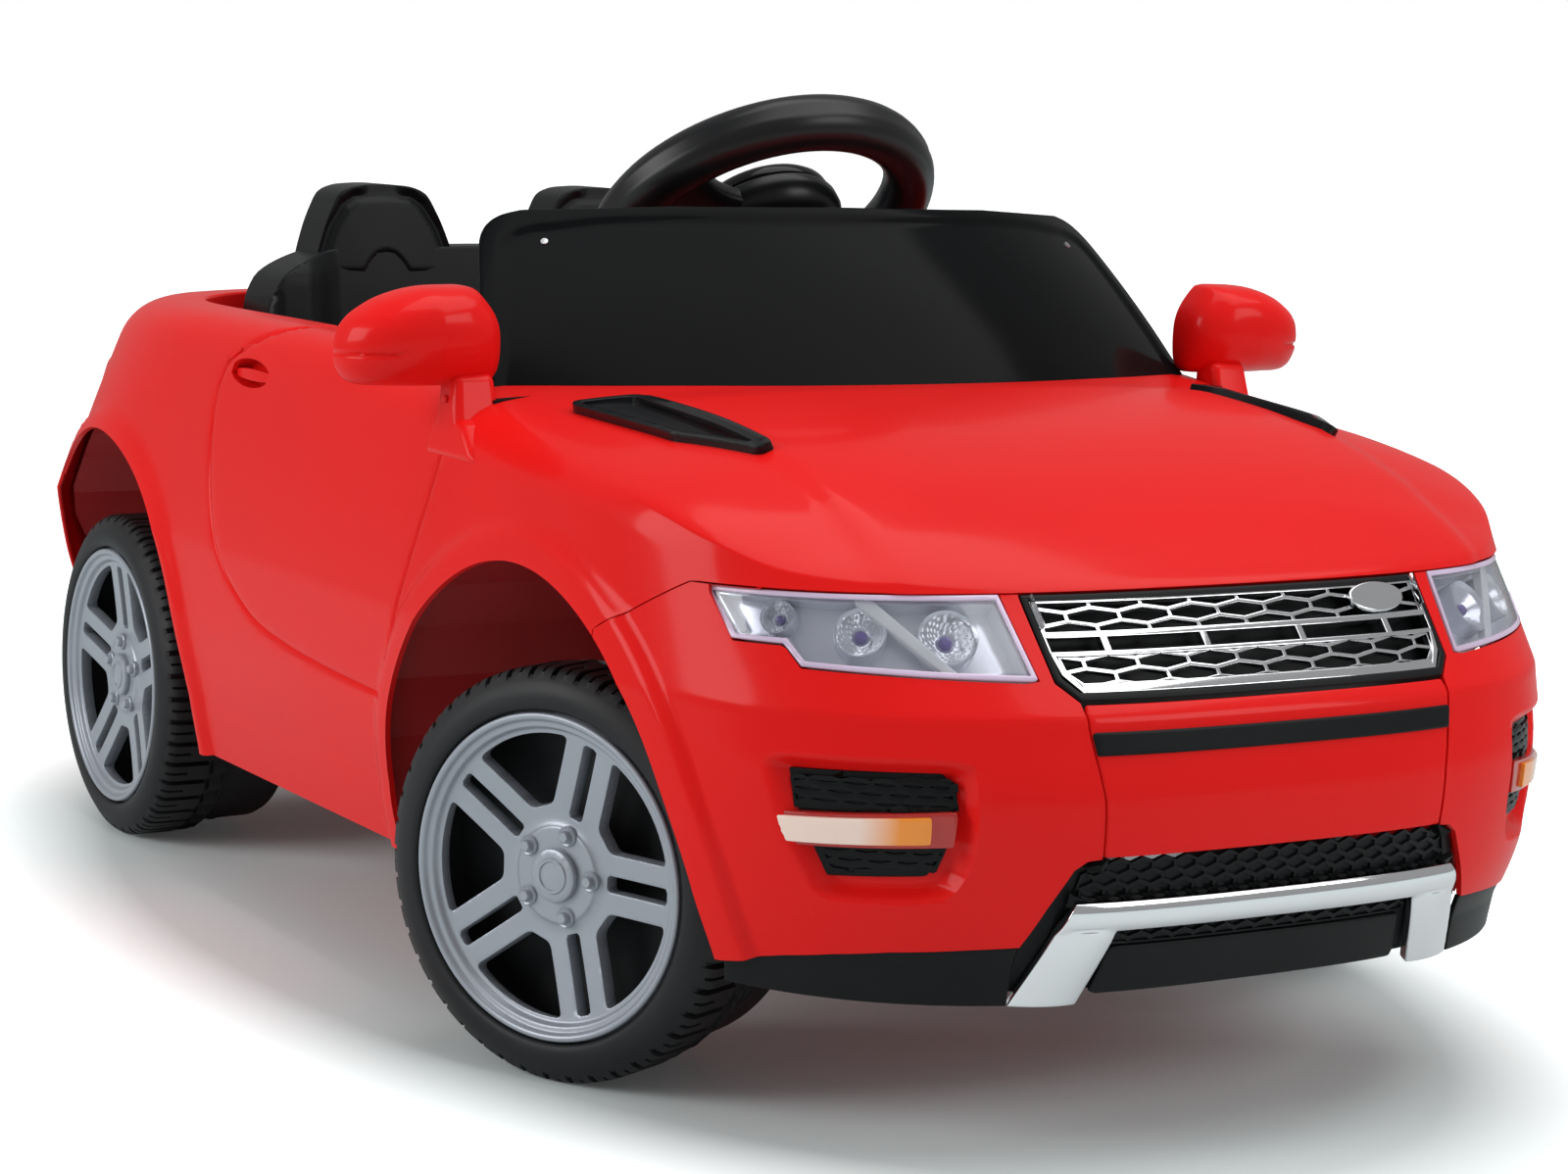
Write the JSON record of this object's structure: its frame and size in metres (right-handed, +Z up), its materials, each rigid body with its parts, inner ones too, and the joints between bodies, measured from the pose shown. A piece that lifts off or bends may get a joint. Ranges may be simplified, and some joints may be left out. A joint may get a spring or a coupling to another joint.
{
  "type": "child's ride-on car",
  "caption": "Open-topped electric ride-on car with moulded body, bench seat, steering wheel linked to the front wheels and a pedal.",
  "frame": {"origin": "on the ground under the middle of the car", "axes": "+Z up, -Y towards the nose, +X to the car's left"},
  "size_m": [0.628, 1.106, 0.4848],
  "materials": {
    "red_plastic": "glossy moulded plastic",
    "inner_red_plastic": "satin moulded plastic",
    "black_plastic": "satin moulded plastic",
    "gloss_black_plastic": "glossy moulded plastic",
    "tyre_black": "blow-moulded hard plastic, satin",
    "silver_paint": "silver painted plastic",
    "chrome_plating": "plated plastic, mirror bright",
    "zinc_steel": "zinc plated steel",
    "clear_plastic": "clear moulded plastic",
    "amber_lens": "amber moulded plastic",
    "red_lens": "red moulded plastic"
  },
  "bodies": {
    "car": {"axle_bracket": "black_plastic", "battery": "black_plastic", "body_shell": "red_plastic", "bumper_trim": "chrome_plating", "bumper_valance": "black_plastic", "centre_panel": "red_plastic", "chassis_tub": "inner_red_plastic", "dashboard": "black_plastic", "drive_unit": "black_plastic", "fog_insert_left": "black_plastic", "fog_insert_right": "black_plastic", "front_axle_beam": "zinc_steel", "front_bumper": "red_plastic", "front_strip": "black_plastic", "grille_mesh": "chrome_plating", "grille_plate": "chrome_plating", "grille_surround": "black_plastic", "headlamp_lens_left": "clear_plastic", "headlamp_lens_right": "clear_plastic", "headlamp_reflector_left": "chrome_plating", "headlamp_reflector_right": "chrome_plating", "hood_vent_left": "black_plastic", "hood_vent_right": "black_plastic", "lower_mesh_panel": "black_plastic", "mirror_glass_left": "chrome_plating", "mirror_glass_right": "chrome_plating", "mirror_housing_left": "red_plastic", "mirror_housing_right": "red_plastic", "pedal_base": "black_plastic", "rear_axle": "zinc_steel", "rear_bumper": "red_plastic", "seat": "black_plastic", "tail_lamp_left": "red_lens", "tail_lamp_right": "red_lens", "turn_lamp_left": "amber_lens", "turn_lamp_right": "amber_lens", "windscreen": "gloss_black_plastic"},
    "steering": {"steering_wheel": "gloss_black_plastic", "hub_cover": "gloss_black_plastic", "steering_shaft": "zinc_steel"},
    "horn_left": {"horn_button_left": "silver_paint"},
    "horn_right": {"horn_button_right": "silver_paint"},
    "knuckle_left": {"knuckle_left": "zinc_steel"},
    "knuckle_right": {"knuckle_right": "zinc_steel"},
    "tie_rod": {"tie_rod": "zinc_steel"},
    "pedal": {"pedal": "black_plastic"},
    "direction_switch": {"direction_switch": "black_plastic"},
    "power_button": {"power_button": "red_lens"},
    "wheel_front_left": {"tyre_front_left": "tyre_black", "rim_front_left": "silver_paint", "centre_cap_front_left": "silver_paint"},
    "wheel_front_right": {"tyre_front_right": "tyre_black", "rim_front_right": "silver_paint", "centre_cap_front_right": "silver_paint"},
    "wheel_rear_left": {"tyre_rear_left": "tyre_black", "rim_rear_left": "silver_paint", "centre_cap_rear_left": "silver_paint"},
    "wheel_rear_right": {"tyre_rear_right": "tyre_black", "rim_rear_right": "silver_paint", "centre_cap_rear_right": "silver_paint"}
  },
  "joints": [
    {"name": "steering_turn", "type": "hinge", "parent": "car", "child": "steering", "pos_m": [0, -0.055, 0.417], "axis": [0, 0.6115, 0.7912], "range_deg": [-51, 2]},
    {"name": "knuckle_left_turn", "type": "hinge", "parent": "car", "child": "knuckle_left", "pos_m": [0.155, -0.257, 0.1034], "axis": [0, 0, 1], "range_deg": [-52, 3]},
    {"name": "knuckle_right_turn", "type": "hinge", "parent": "car", "child": "knuckle_right", "pos_m": [-0.155, -0.257, 0.1034], "axis": [0, 0, 1], "range_deg": [-52, 3]},
    {"name": "tie_rod_turn", "type": "hinge", "parent": "knuckle_left", "child": "tie_rod", "pos_m": [0.13634, -0.21605, 0.139], "axis": [0, 0, 1], "range_deg": [-3, 52]},
    {"name": "wheel_front_left_spin", "type": "hinge", "parent": "knuckle_left", "child": "wheel_front_left", "pos_m": [0.155, -0.257, 0.1034], "axis": [0.91, 0.4147, 0], "continuous": true},
    {"name": "wheel_front_right_spin", "type": "hinge", "parent": "knuckle_right", "child": "wheel_front_right", "pos_m": [-0.155, -0.257, 0.1034], "axis": [0.91, 0.4147, 0], "continuous": true},
    {"name": "wheel_rear_left_spin", "type": "hinge", "parent": "car", "child": "wheel_rear_left", "pos_m": [0.2, 0.331, 0.1034], "axis": [1, 0, 0], "continuous": true},
    {"name": "wheel_rear_right_spin", "type": "hinge", "parent": "car", "child": "wheel_rear_right", "pos_m": [-0.2, 0.331, 0.1034], "axis": [1, 0, 0], "continuous": true},
    {"name": "pedal_press", "type": "hinge", "parent": "car", "child": "pedal", "pos_m": [-0.072, -0.019, 0.0985], "axis": [1, 0, 0], "range_deg": [0, 12], "stiffness_Nm_per_rad": 1, "springref_deg": -2.86},
    {"name": "direction_rock", "type": "hinge", "parent": "car", "child": "direction_switch", "pos_m": [-0.09, -0.114, 0.306], "axis": [1, 0, 0], "range_deg": [-7, 7]},
    {"name": "power_press", "type": "slide", "parent": "car", "child": "power_button", "axis": [0, -1, 0], "range_m": [0, 0.0012], "stiffness_N_per_m": 300, "springref_m": -0.001},
    {"name": "horn_left_press", "type": "slide", "parent": "steering", "child": "horn_left", "axis": [0, -0.6115, -0.7912], "range_m": [0, 0.0025], "stiffness_N_per_m": 200, "springref_m": -0.001},
    {"name": "horn_right_press", "type": "slide", "parent": "steering", "child": "horn_right", "axis": [0, -0.6115, -0.7912], "range_m": [0, 0.0025], "stiffness_N_per_m": 200, "springref_m": -0.001}
  ],
  "couplings": [
    {"joint": "knuckle_left_turn", "follows": "steering_turn", "ratio": 1},
    {"joint": "knuckle_right_turn", "follows": "steering_turn", "ratio": 1},
    {"joint": "tie_rod_turn", "follows": "steering_turn", "ratio": -1}
  ]
}
